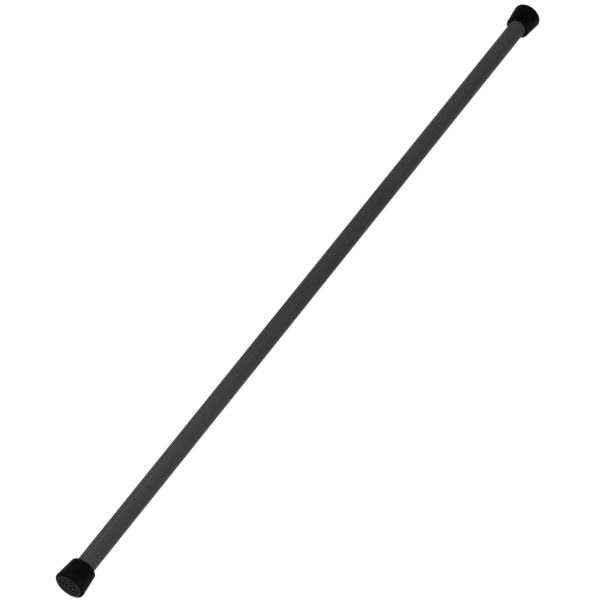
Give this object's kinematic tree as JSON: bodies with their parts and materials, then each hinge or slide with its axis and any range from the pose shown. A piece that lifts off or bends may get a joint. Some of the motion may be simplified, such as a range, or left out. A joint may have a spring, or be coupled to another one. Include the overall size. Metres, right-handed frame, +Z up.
{
  "type": "devil stick",
  "caption": "Straight devil stick: a tube under a dark-grey rubber sleeve, with a black, tread-faced rubber ferrule that pulls off each end.",
  "frame": {"origin": "On the surface that the stick lies on, under the middle of its length. The stick's own axis is 13.13 mm above it.", "axes": "+X along the stick towards the right ferrule, +Z up from the surface that it lies on, +Y sideways. The stick is round, so Y and Z are alike."},
  "size_m": [0.75, 0.0262, 0.0263],
  "materials": {
    "grip_rubber": "matte dark-grey extruded rubber, faintly streaked along its length",
    "ferrule_rubber": "satin black moulded rubber, greyer on the tread",
    "aluminium_tube": "drawn, bare",
    "plug_nylon": "turned natural nylon",
    "washer_steel": "zinc-plated, stamped"
  },
  "bodies": {
    "stick": {"core_tube": "aluminium_tube", "grip_sleeve": "grip_rubber", "left_plug": "plug_nylon", "right_plug": "plug_nylon"},
    "left_tip": {"left_ferrule": "ferrule_rubber", "left_washer": "washer_steel"},
    "right_tip": {"right_ferrule": "ferrule_rubber", "right_washer": "washer_steel"}
  },
  "joints": [
    {"name": "left_tip_pull", "type": "slide", "parent": "stick", "child": "left_tip", "axis": [-1, 0, 0], "range_m": [0, 0.025]},
    {"name": "right_tip_pull", "type": "slide", "parent": "stick", "child": "right_tip", "axis": [1, 0, 0], "range_m": [0, 0.025]}
  ]
}
